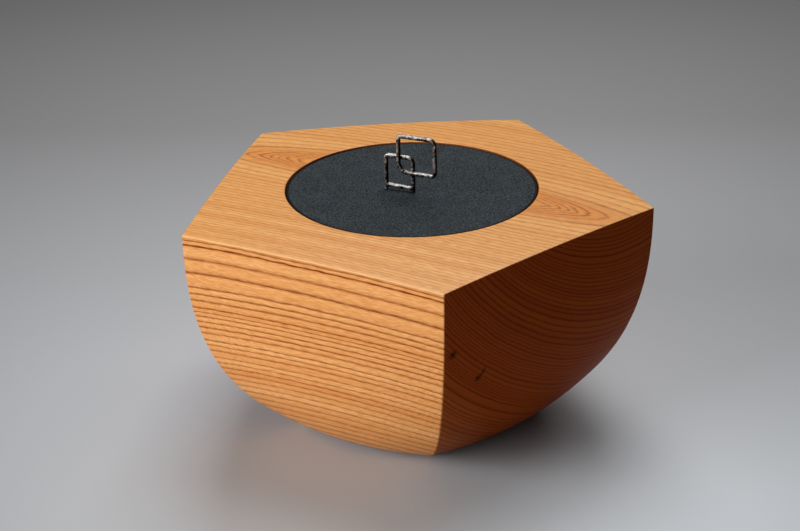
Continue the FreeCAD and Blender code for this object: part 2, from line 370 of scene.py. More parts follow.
def bent_path(corners, bends, closed):
    """Points and directions along straight runs joined by tangent bends, in a plane.

    A bend of radius r between runs at half-angle h begins r / tan(h) from the corner; its
    points are the bend's centre plus r times a direction that turns evenly.
    """
    corners = np.array(corners)
    count = len(corners)
    arrive, leave, turns = list(corners), list(corners), [None] * count
    for i in range(count) if closed else range(1, count - 1):
        back = corners[i - 1] - corners[i]
        ahead = corners[(i + 1) % count] - corners[i]
        back, ahead = back / np.hypot(*back), ahead / np.hypot(*ahead)
        half = np.arccos(np.clip(back @ ahead, -1, 1)) / 2
        arrive[i] = corners[i] + back * bends[i] / np.tan(half)
        leave[i] = corners[i] + ahead * bends[i] / np.tan(half)
        inward = (back + ahead) / np.hypot(*(back + ahead))
        centre = corners[i] + inward * bends[i] / np.sin(half)
        side = np.sign(back[0] * ahead[1] - back[1] * ahead[0])
        start = np.arctan2(*(arrive[i] - centre)[::-1])
        turns[i] = (centre, start, -side * (math.pi - 2 * half), -side)
    points, directions = [], []
    for i in range(count if closed else count - 1):
        following = (i + 1) % count
        run = arrive[following] - leave[i]
        length = np.hypot(*run)
        steps = max(2, int(length / ROD_STEP))
        share = np.linspace(0, 1, steps, endpoint=False)[:, None]
        points.append(leave[i] + run * share)
        directions.append(np.repeat([run / length], steps, axis=0))
        if turns[following] is None:
            points.append(corners[following][None])
            directions.append([run / length])
            continue
        centre, start, sweep, side = turns[following]
        steps = max(6, int(abs(sweep) * (bends[following] + HIGH_ROD / 2) / ROD_STEP))
        angles = start + sweep * np.linspace(0, 1, steps, endpoint=False)
        spoke = np.stack((np.cos(angles), np.sin(angles)), axis=-1)
        points.append(centre + bends[following] * spoke)
        directions.append(side * np.stack((-spoke[:, 1], spoke[:, 0]), axis=-1))
    return np.concatenate(points), np.concatenate(directions)


def hammered(along, around, length, draw):
    """Depth of the hammer marks at each place on a rod: the sum of many soft dents.

    Each dent is depth * exp(-(distance along / length)^2 - (turn / width)^2), with its
    place, depth and width drawn from the seeded generator.
    """
    dents = int(DENTS_PER_LENGTH * length)
    place = draw.uniform(0, length, dents)
    facing = draw.uniform(-math.pi, math.pi, dents)
    depth = DENT_DEPTH * draw.uniform(DENT_SHALLOWEST, 1, dents) ** DENT_EASING
    reach = DENT_LENGTH * draw.uniform(*DENT_LENGTHS, dents)
    width = draw.uniform(*DENT_WIDTHS, dents)
    gap = (along[:, None, None] - place + length / 2) % length - length / 2
    turn = (around[None, :, None] - facing + math.pi) % (2 * math.pi) - math.pi
    return np.sum(depth * np.exp(-((gap / reach) ** 2) - (turn / width) ** 2), axis=-1)


def rod_rings(corners, bends, closed, thickness, depth, draw):
    """Rings of a hammered square rod along a bent path, in the knob's place on the lid.

    A ring is a superellipse |across|^n + |deep|^n = half^n, less the hammer marks; across
    is square to the path in the loop's plane, deep points to the loop's back.
    """
    path, direction = bent_path(corners, bends, closed)
    stride = np.hypot(*np.diff(path, axis=0).T)
    along = np.concatenate(([0], np.cumsum(stride)))
    length = along[-1] + (np.hypot(*(path[0] - path[-1])) if closed else 0)
    around = np.linspace(0, 2 * math.pi, ROD_COLUMNS, endpoint=False)
    power = 2 / ROD_SQUARENESS
    across = np.sign(np.cos(around)) * np.abs(np.cos(around)) ** power
    deep = np.sign(np.sin(around)) * np.abs(np.sin(around)) ** power
    half = thickness / 2 - hammered(along, around, length, draw)
    square = np.stack((direction[:, 1], -direction[:, 0]), axis=-1)
    u = path[:, 0, None] + square[:, 0, None] * across * half
    z = path[:, 1, None] + square[:, 1, None] * across * half
    d = depth + deep * half
    return np.stack(in_place(u, d, z), axis=-1)


def in_place(u, d, z):
    """Row-frame x, y, z of a point u along the loops, d behind them and z high."""
    x = FOOT_X + u * math.cos(KNOB_TURN) - d * math.sin(KNOB_TURN)
    y = FOOT_Y + u * math.sin(KNOB_TURN) + d * math.cos(KNOB_TURN)
    return x, y, z + 0 * x


def turned_at(u, profile, columns):
    """Rings of a shape turned round the upright line that lies u along the loops."""
    angles = np.linspace(0, 2 * math.pi, columns, endpoint=False)
    x, y, _ = in_place(u, 0, 0)
    return turned(profile, angles) + np.array([x, y, 0])


def pin_skin(u):
    """A pin from inside a leg, through the lid, to its peened end under the washer."""
    under = SEAT_HEIGHT - WASHER_THICKNESS
    peen = arc((0, under), PEEN_RADIUS, -60, 0, 5)
    squash = PEEN_HEIGHT / PEEN_RADIUS
    profile = [(radius, under + (level - under) * squash) for radius, level in peen]
    profile += [(PIN_RADIUS, under), (PIN_RADIUS, LOW_BAR_HEIGHT + LOW_BEND_LEFT)]
    return closed_skin(turned_at(u, profile, PIN_COLUMNS))


def low_loop_skins(draw):
    """The low loop: from its foot up, over, down, and back along the lid to its leg."""
    bar = LOW_BAR_HEIGHT
    corners = [
        (0, LID_TOP),
        (0, bar + LOW_HEIGHT),
        (-LOW_WIDTH, bar + LOW_HEIGHT),
        (-LOW_WIDTH, bar + LOW_BAR_RISE),
        (0, bar),
    ]
    bends = [0, LOW_BEND_RIGHT, LOW_BEND_LEFT, LOW_BEND_LEFT, 0]
    rings = rod_rings(corners, bends, False, LOW_ROD, 0, draw)
    return [closed_skin(rings), pin_skin(-LOW_WIDTH), pin_skin(0)]


def high_loop_skin(draw):
    """The high loop: closed, in front of the low one and face to face with it."""
    left = -LOW_WIDTH + HIGH_SHIFT
    right = left + HIGH_WIDTH
    low = LOW_BAR_HEIGHT + HIGH_RISE
    high = low + HIGH_HEIGHT
    depth = -(LOW_ROD + HIGH_ROD) / 2
    corners = [(left, high), (right, high), (right, low), (left, low)]
    return closed_skin(rod_rings(corners, HIGH_BENDS, True, HIGH_ROD, depth, draw), False)


def washer_skin(u):
    """A flat ring round a pin, with softened edges: its section is swept round the pin."""
    top = SEAT_HEIGHT
    under = top - WASHER_THICKNESS
    inner = PIN_RADIUS + WASHER_PLAY
    profile = [
        (inner, top),
        (inner, under),
        (WASHER_RADIUS - WASHER_BEVEL, under),
        (WASHER_RADIUS, under + WASHER_BEVEL),
        (WASHER_RADIUS, top - WASHER_BEVEL),
        (WASHER_RADIUS - WASHER_BEVEL, top),
    ]
    return closed_skin(turned_at(u, profile, WASHER_COLUMNS), False)


# ---------------------------------------------------------------- materials

def linear(hex_colour):
    """RGBA in linear light from an sRGB hex colour."""
    channels = [int(hex_colour[i:i + 2], 16) / 255 for i in (0, 2, 4)]
    low = [c / 12.92 if c <= 0.04045 else ((c + 0.055) / 1.055) ** 2.4 for c in channels]
    return (*low, 1.0)


def add(tree, kind, inputs=None, **settings):
    """Adds a shader node: settings are its properties, inputs its sockets' values or links."""
    node = tree.nodes.new("ShaderNode" + kind)
    for name, value in settings.items():
        setattr(node, name, value)
    for socket, value in (inputs or {}).items():
        if isinstance(value, bpy.types.NodeSocket):
            tree.links.new(value, node.inputs[socket])
        else:
            node.inputs[socket].default_value = value
    return node


def new_material(name):
    """A material with an empty node tree, and that tree."""
    material = bpy.data.materials.new(name)
    material.use_nodes = True
    material.node_tree.nodes.clear()
    return material, material.node_tree


def set_stops(ramp, stops):
    """Gives a colour ramp its stops, each (place from 0 to 1, colour), first and last too."""
    ramp.elements[0].color = stops[0][1]
    ramp.elements[1].color = stops[-1][1]
    for place, colour in stops[1:-1]:
        ramp.elements.new(place).color = colour


# Growth rings: circles about a pith that runs along the grain above the jar. The pith
# drifts as the tree grows, and it bows a little along the block. Lengths are in mm.
PITH_Y = -16.9                 # at the middle of the block
PITH_Z = 59.4                  # above the corners of the rim
PITH_LEAN = (2.2, 0.0)         # of y and z to 100 of x
PITH_BOW = (1.67, -0.69)       # of y and z to the square of 100 of x
RING_DRIFT = (0.3, 0.043)      # of each ring's centre, to its radius, across and up
RING_FLATTENING = 0.9
RING_TURN = -0.253             # radians; the flattened rings' axes turn this far

SWERVE = 3.1e-4                # some rings lie out by this times the square of the
SWERVE_START = -45.0           # distance along the grain from this x,
SWERVE_REACH = 130.0           # which stops growing here
SWERVE_RADII = (120.0, 155.0, 192.0)    # none, most and none, by ring radius

FIRST_RADIUS = 50.0            # the rings are read off between these two radii
LAST_RADIUS = 266.0
RINGS_BY_RADIUS = (            # ring radius and how many rings lie inside it
    (FIRST_RADIUS, 0),
    (57, 1.8),
    (58.75, 9),
    (61.5, 10.8),
    (64, 12),
    (80, 18),
    (150, 40),
    (154.7, 40.87),
    (155.8, 41.2),
    (156.6, 41.87),
    (157.8, 42.2),
    (162.9, 42.87),
    (164.1, 43.2),
    (169.4, 43.87),
    (170.8, 44.2),
    (176.7, 44.87),
    (177.8, 45.2),
    (183.7, 47),
    (187.8, 48),
    (192.2, 50),
    (200.5, 53),
    (204.5, 54),
    (209.5, 56),
    (213.1, 57),
    (221, 60),
    (LAST_RADIUS, 75),
)
END_RING_WIDTH = 3.0           # the end grain shows the rings more even,
END_SWELL = 5.0                # but for a swell of this many rings,
END_SWELL_LENGTH = 25.0        # over this much of the radius
END_GRAIN = 0.7                # a side shows end grain from this much of the mask on

SLOW_WAVE = 1.6                # the rings' slow waves, in ring radius,
SLOW_LENGTH = 90.0             # and their length along the grain
SLOW_WIDTH = 24.0              # and across it
RAGGEDNESS = (0.22, 0.9)       # ragged lines, in ring radius, near the pith and far,
RAGGED_RADII = (64.0, 150.0)   # which is at these ring radii
RAGGED_LENGTH = 9.0
RAGGED_WIDTH = 1.6
PORE_LENGTH = 6.0              # streaks of pores
PORE_WIDTH = 0.45
PORE_FLECKS = (0.35, 0.83)     # they add the first to a line that is else this dark
TONE_WIDTH = 25 / 3            # bands of paler and deeper wood, in ring radius
LOOP_RADII = (58.6, 60.4)      # the innermost rings' browner wood ends between these

PORE_LINE = (                  # share of a ring and how dark it is there
    (0.0, 1.0),
    (0.13, 0.95),
    (0.21, 0.2),
    (0.32, 0.0),
    (0.75, 0.1),
    (0.9, 0.4),
    (1.0, 1.0),
)
STRONG_RADIUS = (              # ring radius and the strength of the lines along the grain
    (0, 0.72),
    (59.3, 0.72),
    (60.5, 0.44),
    (110, 0.4),
    (150, 0.24),
    (154.2, 0.24),
    (154.8, 1.0),
    (190, 0.95),
    (225, 0.6),
    (300, 0.5),
)
STRONG_ENDS = 0.72             # the same on the end grain, all over
WEAKEST_RING = 0.66            # the rings' own strengths run from this to 1
RING_NOISE = (5.0, 0.9)        # where they are read from the noise, and how fast it runs

KNOTS = (                      # place of a pin knot, and its half width and length
    ((85.9, -109.0, 100.0), 3.2, 3.6),
    ((91.1, -89.9, 78.4), 2.8, 2.8),
    ((91.6, -87.4, 81.6), 1.5, 4.0),
    ((43.5, -83.5, 16.7), 0.8, 1.6),
)
RABBET_BLEND = 0.25            # the rabbet's dark brown begins over this distance
WELL_MARGIN = 0.4              # the well's black lacquer reaches this far past its wall
WIPED_COAT = 0.4               # satin film on the top, worn off the sides
WIPED_ROUGHNESS = 0.42
WELL_ROUGHNESS = 0.22


def ring_radius(tree, place):
    """Radius of the growth ring through a place, in units near 1 mm at the pith.

    With u and v the place across and up from the pith, flattened, and c the drift, the
    ring of radius r has its centre at c * r, so u^2 + v^2 = 2 r (c . uv) + r^2 (1 - c^2),
    solved for r.
    """
    cosine, sine = math.cos(RING_TURN), math.sin(RING_TURN)
    rows = (
        (RING_FLATTENING * cosine, RING_FLATTENING * sine),
        (-sine / RING_FLATTENING, cosine / RING_FLATTENING),
    )
    rim = RIM_HEIGHT / MM
    x = add(tree, "SeparateXYZ", {0: place}).outputs[0]
    x_squared = add(tree, "Math", {0: x, 1: x}, operation="MULTIPLY").outputs[0]
    ordinates = []
    for along_y, along_z in rows:
        at_middle = along_y * PITH_Y + along_z * (PITH_Z + rim)
        lean = (along_y * PITH_LEAN[0] + along_z * PITH_LEAN[1]) / 100
        bow = (along_y * PITH_BOW[0] + along_z * PITH_BOW[1]) / 100**2
        across = {0: place, 1: (-lean, along_y, along_z)}
        across = add(tree, "VectorMath", across, operation="DOT_PRODUCT").outputs["Value"]
        across = {0: across, 1: at_middle}
        across = add(tree, "Math", across, operation="SUBTRACT").outputs[0]
        bent = {0: x_squared, 1: -bow, 2: across}
        ordinates.append(add(tree, "Math", bent, operation="MULTIPLY_ADD").outputs[0])
    uv = add(tree, "CombineXYZ", {0: ordinates[0], 1: ordinates[1]}).outputs[0]
    drift = (*RING_DRIFT, 0)
    rest = 1 - RING_DRIFT[0] ** 2 - RING_DRIFT[1] ** 2
    square = add(tree, "VectorMath", {0: uv, 1: uv}, operation="DOT_PRODUCT").outputs["Value"]
    pull = add(tree, "VectorMath", {0: uv, 1: drift}, operation="DOT_PRODUCT").outputs["Value"]
    pull_squared = add(tree, "Math", {0: pull, 1: pull}, operation="MULTIPLY").outputs[0]
    inside = {0: square, 1: rest, 2: pull_squared}
    inside = add(tree, "Math", inside, operation="MULTIPLY_ADD").outputs[0]
    root = add(tree, "Math", {0: inside}, operation="SQRT").outputs[0]
    less = add(tree, "Math", {0: root, 1: pull}, operation="SUBTRACT").outputs[0]
    return add(tree, "Math", {0: less, 1: rest}, operation="DIVIDE").outputs[0]


def swerved(tree, place, radius):
    """Ring radius less a swerve: k times min(x - x0, reach) squared.

    The share of it rises evenly from the first of SWERVE_RADII to the second and falls
    again to the third.
    """
    x = add(tree, "SeparateXYZ", {0: place}).outputs[0]
    along = add(tree, "Math", {0: x, 1: SWERVE_START}, operation="SUBTRACT").outputs[0]
    along = add(tree, "Math", {0: along, 1: SWERVE_REACH}, operation="MINIMUM").outputs[0]
    square = add(tree, "Math", {0: along, 1: along}, operation="MULTIPLY").outputs[0]
    first, most, last = SWERVE_RADII
    rising = {"Value": radius, "From Min": first, "From Max": most, "To Max": -SWERVE}
    rising = add(tree, "MapRange", rising).outputs[0]
    falling = {"Value": radius, "From Min": last, "From Max": most, "To Max": -SWERVE}
    falling = add(tree, "MapRange", falling).outputs[0]
    share = add(tree, "Math", {0: rising, 1: falling}, operation="MAXIMUM").outputs[0]
    moved = {0: square, 1: share, 2: radius}
    return add(tree, "Math", moved, operation="MULTIPLY_ADD").outputs[0]


def streaks(tree, place, length, width, detail):
    """Noise from 0 to 1, drawn out along the grain: its cells are this long and this wide."""
    cells = {"Vector": place, "Scale": (1 / length, 1 / width, 1 / width)}
    cells = add(tree, "Mapping", cells, vector_type="POINT").outputs[0]
    cells = {"Vector": cells, "Scale": 1.0, "Detail": detail}
    return add(tree, "TexNoise", cells).outputs[0]


def growth_rings(tree, place, ends):
    """The ring radius at a place, and how many rings lie inside it.

    The radius has slow waves and raggedness, each noise - 0.5 times its size. Along the
    grain the count is read from RINGS_BY_RADIUS, by straight lines between its rows; on
    the end grain it is the radius over the rings' width, plus the swell.
    """
    radius = swerved(tree, place, ring_radius(tree, place))
    slow = streaks(tree, place, SLOW_LENGTH, SLOW_WIDTH, 2.0)
    slow = add(tree, "Math", {0: slow, 1: 0.5}, operation="SUBTRACT").outputs[0]
    wavy = {0: slow, 1: SLOW_WAVE, 2: radius}
    radius = add(tree, "Math", wavy, operation="MULTIPLY_ADD").outputs[0]
    ragged = streaks(tree, place, RAGGED_LENGTH, RAGGED_WIDTH, 2.0)
    ragged = add(tree, "Math", {0: ragged, 1: 0.5}, operation="SUBTRACT").outputs[0]
    size = {
        "Value": radius, "From Min": RAGGED_RADII[0], "From Max": RAGGED_RADII[1],
        "To Min": RAGGEDNESS[0], "To Max": RAGGEDNESS[1],
    }
    size = add(tree, "MapRange", size).outputs[0]
    ragged = {0: ragged, 1: size, 2: radius}
    radius = add(tree, "Math", ragged, operation="MULTIPLY_ADD").outputs[0]

    most_rings = RINGS_BY_RADIUS[-1][1]
    span = LAST_RADIUS - FIRST_RADIUS
    share = {"Value": radius, "From Min": FIRST_RADIUS, "From Max": LAST_RADIUS}
    share = add(tree, "MapRange", share).outputs[0]
    curve = add(tree, "FloatCurve", {"Value": share})
    line = curve.mapping.curves[0]
    for at, count in RINGS_BY_RADIUS[1:-1]:
        line.points.new((at - FIRST_RADIUS) / span, count / most_rings)
    for point in line.points:
        point.handle_type = "VECTOR"
    curve.mapping.update()
    rings = {0: curve.outputs[0], 1: most_rings}
    rings = add(tree, "Math", rings, operation="MULTIPLY").outputs[0]

    swell = {"W": radius, "Scale": 1 / END_SWELL_LENGTH, "Detail": 1.0}
    swell = add(tree, "TexNoise", swell, noise_dimensions="1D").outputs[0]
    even = {0: radius, 1: 1 / END_RING_WIDTH}
    even = add(tree, "Math", even, operation="MULTIPLY").outputs[0]
    even = {0: swell, 1: END_SWELL, 2: even}
    even = add(tree, "Math", even, operation="MULTIPLY_ADD").outputs[0]
    at_ends = {0: ends, 1: END_GRAIN}
    at_ends = add(tree, "Math", at_ends, operation="GREATER_THAN").outputs[0]
    rings = add(tree, "Mix", {0: at_ends, 2: rings, 3: even}, data_type="FLOAT").outputs[0]
    return radius, rings


def pore_lines(tree, radius, rings, ends):
    """How dark the line of pores is: its place in the ring times the ring's strength.

    The line is dark at the start of each ring, then clean, and the rest of the ring
    darkens slowly towards the next. Every ring has its own strength. Along the grain the
    rings near the pith are faint, but for the innermost, which close in loops on the top.
    """
    share = add(tree, "Math", {0: rings}, operation="FRACT").outputs[0]
    line = add(tree, "ValToRGB", {"Fac": share})
    set_stops(line.color_ramp, [(at, (dark, dark, dark, 1)) for at, dark in PORE_LINE])
    shift, pace = RING_NOISE
    own = add(tree, "Math", {0: rings, 1: shift}, operation="ADD").outputs[0]
    own = {"W": own, "Scale": pace, "Detail": 2.0}
    own = add(tree, "TexNoise", own, noise_dimensions="1D").outputs[0]
    own = {"Value": own, "From Min": 0.3, "From Max": 0.7, "To Min": WEAKEST_RING}
    own = add(tree, "MapRange", own).outputs[0]
    reach = STRONG_RADIUS[-1][0]
    along = add(tree, "Math", {0: radius, 1: reach}, operation="DIVIDE").outputs[0]
    along = add(tree, "ValToRGB", {"Fac": along})
    strengths = [(at / reach, (strong, strong, strong, 1)) for at, strong in STRONG_RADIUS]
    set_stops(along.color_ramp, strengths)
    common = {0: ends, 2: along.outputs[0], 3: STRONG_ENDS}
    common = add(tree, "Mix", common, data_type="FLOAT").outputs[0]
    strength = add(tree, "Math", {0: own, 1: common}, operation="MULTIPLY").outputs[0]
    line = {0: line.outputs[0], 1: strength}
    return add(tree, "Math", line, operation="MULTIPLY").outputs[0]


def cuts_of_the_block(tree):
    """Three masks from 0 to 1, from the normal: side, ends and arris.

    side is off the top, ends is where a side cuts the grain squarely, and arris is on the
    rounded edge above the lengthwise sides, where it carries a painted highlight.
    """
    normal = add(tree, "NewGeometry").outputs["Normal"]
    upward = add(tree, "SeparateXYZ", {0: normal}).outputs[2]
    level = add(tree, "VectorMath", {0: normal, 1: (1, 1, 0)}, operation="MULTIPLY").outputs[0]
    level = add(tree, "VectorMath", {0: level}, operation="NORMALIZE").outputs[0]
    level = add(tree, "VectorMath", {0: level}, operation="ABSOLUTE").outputs[0]
    level_x, level_y, _ = add(tree, "SeparateXYZ", {0: level}).outputs
    side = {"Value": upward, "From Min": 0.95, "From Max": 0.6}
    side = add(tree, "MapRange", side).outputs[0]
    ends = {"Value": level_x, "From Min": 0.45, "From Max": 0.9}
    ends = add(tree, "MapRange", ends).outputs[0]
    ends = add(tree, "Math", {0: ends, 1: side}, operation="MULTIPLY").outputs[0]
    rising = {"Value": upward, "From Min": 0.12, "From Max": 0.35}
    rising = add(tree, "MapRange", rising).outputs[0]
    below_top = {"Value": upward, "From Min": 0.985, "From Max": 0.9}
    below_top = add(tree, "MapRange", below_top).outputs[0]
    arris = add(tree, "Math", {0: rising, 1: below_top}, operation="MULTIPLY").outputs[0]
    lengthwise = {"Value": level_y, "From Min": 0.4, "From Max": 0.8, "To Max": 0.7}
    lengthwise = add(tree, "MapRange", lengthwise).outputs[0]
    arris = add(tree, "Math", {0: arris, 1: lengthwise}, operation="MULTIPLY").outputs[0]
    return side, ends, arris


def from_axis(tree, place):
    """Distance of a place from the upright axis: the length of its x and y."""
    plan = add(tree, "VectorMath", {0: place, 1: (1, 1, 0)}, operation="MULTIPLY").outputs[0]
    return add(tree, "VectorMath", {0: plan}, operation="LENGTH").outputs["Value"]


def zelkova():
    """Solid zelkova under wiped lacquer: golden orange with reddish rings of open pores.

    Ring-porous wood: every ring starts with a thin dark line of pores and runs out pale,
    so a lengthwise face shows lines and the end grain shows arcs. Satin, not glossy.
    """
    material, tree = new_material("zelkova_wiped_lacquer")
    place = add(tree, "TexCoord").outputs["Object"]
    place = add(tree, "VectorMath", {0: place, "Scale": 1 / MM}, operation="SCALE").outputs[0]
    side, ends, arris = cuts_of_the_block(tree)
    radius, rings = growth_rings(tree, place, ends)
    line = pore_lines(tree, radius, rings, ends)
    pores = streaks(tree, place, PORE_LENGTH, PORE_WIDTH, 1.0)
    pores = {"Value": pores, "From Min": 0.35, "From Max": 0.7}
    pores = add(tree, "MapRange", pores).outputs[0]
    dark = {0: pores, 1: PORE_FLECKS[0], 2: PORE_FLECKS[1]}
    dark = add(tree, "Math", dark, operation="MULTIPLY_ADD").outputs[0]
    dark = {0: line, 1: dark}
    dark = add(tree, "Math", dark, operation="MULTIPLY", use_clamp=True).outputs[0]

    # the clean wood, in bands; the innermost rings are browner
    tone = {"W": radius, "Scale": 1 / TONE_WIDTH, "Detail": 3.0}
    tone = add(tree, "TexNoise", tone, noise_dimensions="1D").outputs[0]
    tone = {"Value": tone, "From Min": 0.2, "From Max": 0.8}
    tone = add(tree, "MapRange", tone).outputs[0]
    wood = {0: tone, 6: linear("DF9A59"), 7: linear("F0B575")}
    wood = add(tree, "Mix", wood, data_type="RGBA").outputs[2]
    loops = {"Value": radius, "From Min": LOOP_RADII[1], "From Max": LOOP_RADII[0]}
    loops = add(tree, "MapRange", loops).outputs[0]
    wood = {0: loops, 6: wood, 7: linear("F6E2C6")}
    wood = add(tree, "Mix", wood, data_type="RGBA", blend_type="MULTIPLY").outputs[2]

    # the pores: fine streaks all over, and the dark line of each ring
    wood = {0: pores, 6: wood, 7: linear("E8D8BE")}
    wood = add(tree, "Mix", wood, data_type="RGBA", blend_type="MULTIPLY").outputs[2]
    wood = {0: dark, 6: wood, 7: linear("7E3305")}
    wood = add(tree, "Mix", wood, data_type="RGBA").outputs[2]

    # the top, which is planed along the rings, is a little yellower than the sides
    tint = {0: side, 6: linear("FFFFF3"), 7: linear("FFFCFF")}
    tint = add(tree, "Mix", tint, data_type="RGBA").outputs[2]
    wood = {0: 1.0, 6: wood, 7: tint}
    wood = add(tree, "Mix", wood, data_type="RGBA", blend_type="MULTIPLY").outputs[2]

    # the end grain drinks more lacquer, so it is darker and browner; the tint is darker and
    # redder still as painted shade, for a side that stands in shade
    wood = {0: ends, 6: wood, 7: linear("A66A2A")}
    wood = add(tree, "Mix", wood, data_type="RGBA", blend_type="MULTIPLY").outputs[2]

    # painted highlight: the arris between the lengthwise sides and the top is painted pale,
    # where it catches the lamps
    wood = {0: arris, 6: wood, 7: linear("F7C68A")}
    wood = add(tree, "Mix", wood, data_type="RGBA").outputs[2]

    # the rabbet round the mouth is dark brown, from the mouth's rounded edge inwards
    out = from_axis(tree, place)
    mouth = (RABBET_RADIUS + MOUTH_RADIUS) / MM
    rabbet = {"Value": out, "From Min": mouth, "From Max": mouth - RABBET_BLEND}
    rabbet = add(tree, "MapRange", rabbet).outputs[0]
    wood = {0: rabbet, 6: wood, 7: linear("8A4B22")}
    wood = add(tree, "Mix", wood, data_type="RGBA").outputs[2]

    # pin knots: small dark spots, drawn out towards the pith
    for middle, half_width, half_length in KNOTS:
        aside = PITH_Y - middle[1]
        up = PITH_Z + RIM_HEIGHT / MM - middle[2]
        knot = {
            "Vector": place,
            "Location": middle,
            "Rotation": (math.atan2(-aside, up), 0, 0),
            "Scale": (2 * half_length, half_width, half_length),
        }
        knot = add(tree, "Mapping", knot, vector_type="TEXTURE").outputs[0]
        knot = add(tree, "VectorMath", {0: knot}, operation="LENGTH").outputs["Value"]
        knot = {"Value": knot, "From Min": 1.0, "From Max": 0.1, "To Max": 0.9}
        knot = add(tree, "MapRange", knot).outputs[0]
        wood = {0: knot, 6: wood, 7: linear("0E0502")}
        wood = add(tree, "Mix", wood, data_type="RGBA").outputs[2]

    # black gloss lacquer inside the well, under the seat
    well = WELL_RADIUS / MM + WELL_MARGIN
    within = add(tree, "Math", {0: out, 1: well}, operation="LESS_THAN").outputs[0]
    height = add(tree, "SeparateXYZ", {0: place}).outputs[2]
    above = {0: height, 1: WELL_FLOOR / MM - 1}
    above = add(tree, "Math", above, operation="GREATER_THAN").outputs[0]
    inside = add(tree, "Math", {0: within, 1: above}, operation="MULTIPLY").outputs[0]
    colour = {0: inside, 6: wood, 7: linear("17110F")}
    colour = add(tree, "Mix", colour, data_type="RGBA").outputs[2]
    rough = {"Value": inside, "To Min": WIPED_ROUGHNESS, "To Max": WELL_ROUGHNESS}
    rough = add(tree, "MapRange", rough).outputs[0]

    wiped = {0: side, 1: -WIPED_COAT, 2: WIPED_COAT}
    wiped = add(tree, "Math", wiped, operation="MULTIPLY_ADD").outputs[0]
    film = add(tree, "Math", {0: inside, 1: wiped}, operation="MAXIMUM").outputs[0]
    relief = {"Strength": 0.25, "Distance": 0.02 * MM, "Height": dark}
    relief = add(tree, "Bump", relief, invert=True).outputs[0]
    shader = add(tree, "BsdfPrincipled", {
        "Base Color": colour, "Roughness": rough, "Normal": relief, "IOR": 1.5,
        "Coat Weight": film, "Coat Roughness": 0.3, "Specular IOR Level": 0.02,
    })
    add(tree, "OutputMaterial", {0: shader.outputs[0]})
    return material


SPECKLE = 0.9 * MM             # the lid's granular lacquer, coarse enough to show
CLOUDING = 12 * MM             # and its slow unevenness
LID_DARK_EDGE = 1.8 * MM       # the lid is dark brownish black within this distance of its edge


def stone_lacquer():
    """Granular black lacquer, sprinkled and left matt: charcoal with fine pale speckle."""
    material, tree = new_material("granular_matt_lacquer")
    place = add(tree, "TexCoord").outputs["Object"]
    grain = {"Vector": place, "Scale": 1 / SPECKLE, "Detail": 2.0, "Roughness": 0.6}
    grain = add(tree, "TexNoise", grain).outputs[0]
    cloud = {"Vector": place, "Scale": 1 / CLOUDING, "Detail": 2.0}
    cloud = add(tree, "TexNoise", cloud).outputs[0]
    speckle = {"Value": grain, "From Min": 0.38, "From Max": 0.64}
    speckle = add(tree, "MapRange", speckle).outputs[0]
    lift = {0: cloud, 1: 0.35, 2: speckle}
    lift = add(tree, "Math", lift, operation="MULTIPLY_ADD").outputs[0]
    lift = {0: lift, 1: 0.17}
    lift = add(tree, "Math", lift, operation="SUBTRACT", use_clamp=True).outputs[0]
    colour = {0: lift, 6: linear("040505"), 7: linear("3F474C")}
    colour = add(tree, "Mix", colour, data_type="RGBA").outputs[2]

    # the lid is dark brownish black near its edge
    dark_edge_from = LID_RADIUS - LID_DARK_EDGE
    edge = {"Value": from_axis(tree, place), "From Min": dark_edge_from, "From Max": dark_edge_from + 0.4 * MM}
    edge = add(tree, "MapRange", edge).outputs[0]
    colour = {0: edge, 6: colour, 7: linear("120A07")}
    colour = add(tree, "Mix", colour, data_type="RGBA").outputs[2]
    relief = {"Strength": 0.6, "Distance": 0.12 * MM, "Height": grain}
    relief = add(tree, "Bump", relief).outputs[0]
    shader = add(tree, "BsdfPrincipled", {
        "Base Color": colour, "Roughness": 0.75, "Normal": relief, "IOR": 1.45,
        "Specular IOR Level": 0.1,
    })
    add(tree, "OutputMaterial", {0: shader.outputs[0]})
    return material


PAINTED_LIGHT_SIDE = (-0.7, -0.35, 0.5)    # painted light: the side of the knob's rods that faces the lamps and is painted bright
RUBBED_PATCH = 2.2 * MM             # size of the patches left black or bright
RUBBED_UNEVENLY = 1.4               # how much they count beside the side
HAMMER_FACET = 1.3 * MM


